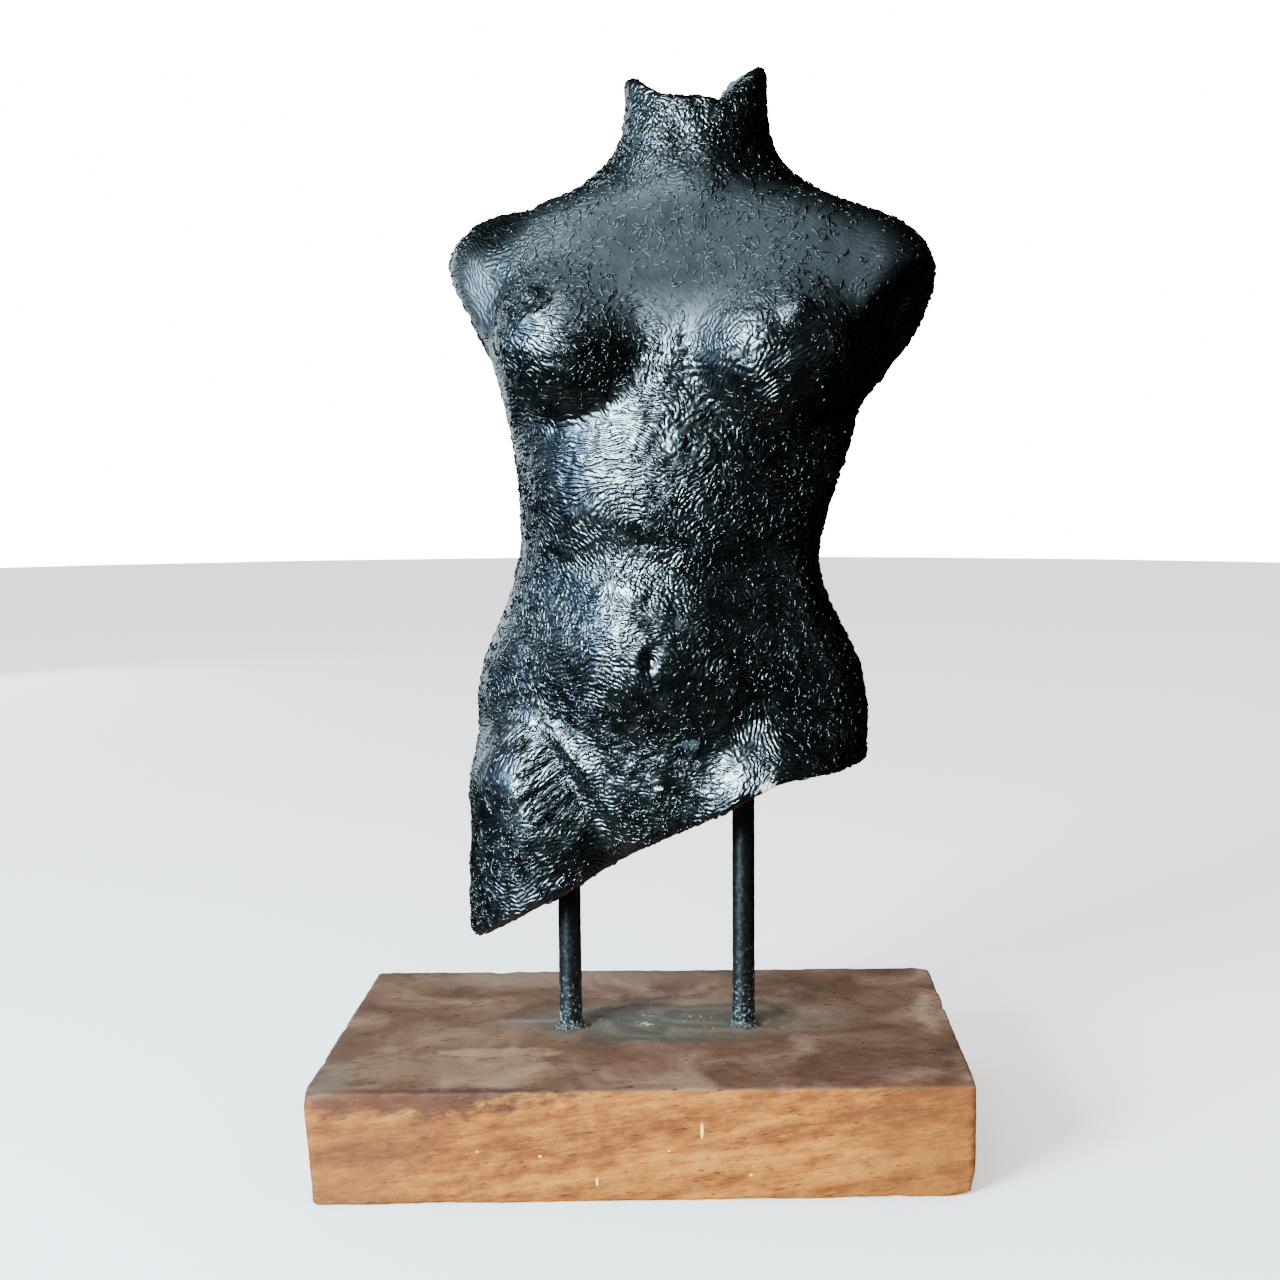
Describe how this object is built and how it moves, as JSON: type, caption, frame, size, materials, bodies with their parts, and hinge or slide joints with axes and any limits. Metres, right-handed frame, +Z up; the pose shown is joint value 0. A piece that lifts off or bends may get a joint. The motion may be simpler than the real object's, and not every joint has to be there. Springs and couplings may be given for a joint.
{
  "type": "torso sculpture",
  "caption": "Headless, armless female torso in black-painted ceramic, held above a rectangular wooden plinth by upright rods.",
  "frame": {"origin": "middle of the plinth's underside", "axes": "+Z up, the figure's front towards -Y, +X to the viewer's right"},
  "size_m": [0.2539, 0.152, 0.4306],
  "materials": {
    "oiled_wood": "oiled, dusty and worn at the edges",
    "painted_steel": "black paint, worn and speckled near the feet",
    "black_glazed_ceramic": "glossy black paint over rough modelled ceramic"
  },
  "bodies": {
    "root": {"plinth": "oiled_wood", "support_rod_left": "painted_steel", "support_rod_right": "painted_steel", "torso": "black_glazed_ceramic"}
  },
  "joints": []
}
